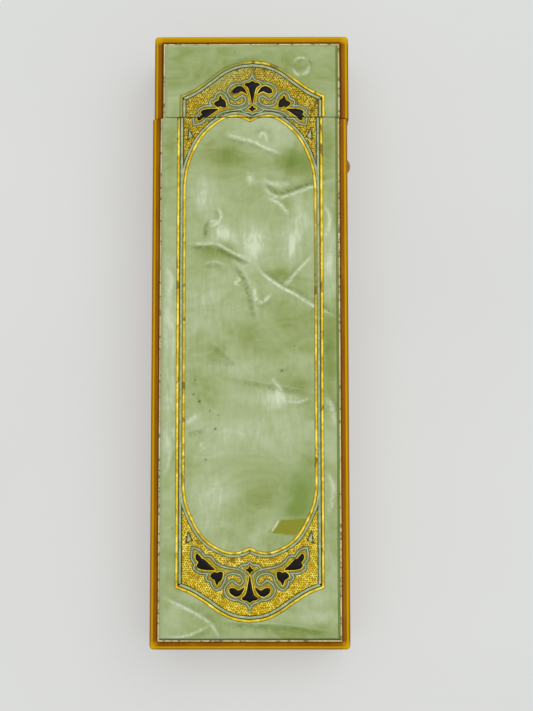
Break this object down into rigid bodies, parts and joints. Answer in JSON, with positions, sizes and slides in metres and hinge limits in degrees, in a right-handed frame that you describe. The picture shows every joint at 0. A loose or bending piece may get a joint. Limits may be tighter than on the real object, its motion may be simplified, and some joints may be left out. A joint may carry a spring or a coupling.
{
  "type": "lipstick case",
  "caption": "Slim flat celluloid lipstick case with pearl-laminate faces, a pull-off lid on a neck collar, a side press-button catch and a swivel lipstick inside.",
  "frame": {"origin": "centre of the footprint of the back face, on which the case lies", "axes": "+Z out of the decorated front face, +Y along the length towards the lid, +X across the width towards the side with the catch button"},
  "size_m": [0.026, 0.0794, 0.0127],
  "materials": {
    "amber_celluloid": "polished translucent amber",
    "cream_celluloid": "satin cream",
    "green_pearl_celluloid": "polished green pearl with stamped gilt and black enamel",
    "spring_brass": "plain rolled brass",
    "gilt_brass": "polished gilt",
    "boxwood": "plain sanded",
    "lipstick_wax": "soft sheen wax"
  },
  "bodies": {
    "case_body": {"body_back_backing": "cream_celluloid", "body_back_panel": "green_pearl_celluloid", "body_back_plate": "amber_celluloid", "body_end_wall": "amber_celluloid", "body_front_backing": "cream_celluloid", "body_front_panel": "green_pearl_celluloid", "body_front_plate": "amber_celluloid", "body_left_wall": "amber_celluloid", "body_right_wall": "amber_celluloid", "catch_spring": "spring_brass", "cradle_left": "boxwood", "cradle_right": "boxwood", "lipstick_sleeve": "gilt_brass", "mouth_plate_left": "gilt_brass", "mouth_plate_right": "gilt_brass", "neck_collar": "gilt_brass", "spiral_tube": "spring_brass", "spring_rivet": "spring_brass"},
    "lid": {"lid_back_backing": "cream_celluloid", "lid_back_panel": "green_pearl_celluloid", "lid_back_plate": "amber_celluloid", "lid_end_wall": "amber_celluloid", "lid_front_backing": "cream_celluloid", "lid_front_panel": "green_pearl_celluloid", "lid_front_plate": "amber_celluloid", "lid_left_wall": "amber_celluloid", "lid_right_wall": "amber_celluloid", "grip_plate": "spring_brass"},
    "button": {"catch_button": "amber_celluloid"},
    "swivel": {"slotted_tube": "spring_brass", "swivel_base": "gilt_brass"},
    "riser": {"bullet_cup": "gilt_brass", "lipstick_bullet": "lipstick_wax"}
  },
  "joints": [
    {"name": "lid_slide", "type": "slide", "parent": "case_body", "child": "lid", "axis": [0, 1, 0], "range_m": [0, 0.012]},
    {"name": "catch_press", "type": "slide", "parent": "case_body", "child": "button", "axis": [-1, 0, 0], "range_m": [0, 0.0003], "stiffness_N_per_m": 300, "deforming": ["catch_spring"]},
    {"name": "base_twist", "type": "hinge", "parent": "case_body", "child": "swivel", "pos_m": [0, -0.0384, 0.00635], "axis": [0, 1, 0], "range_deg": [0, 360]},
    {"name": "bullet_rise", "type": "slide", "parent": "swivel", "child": "riser", "axis": [0, 1, 0], "range_m": [0, 0.012]}
  ],
  "couplings": [
    {"joint": "bullet_rise", "follows": "base_twist", "m_per_rad": 0.0019099}
  ]
}
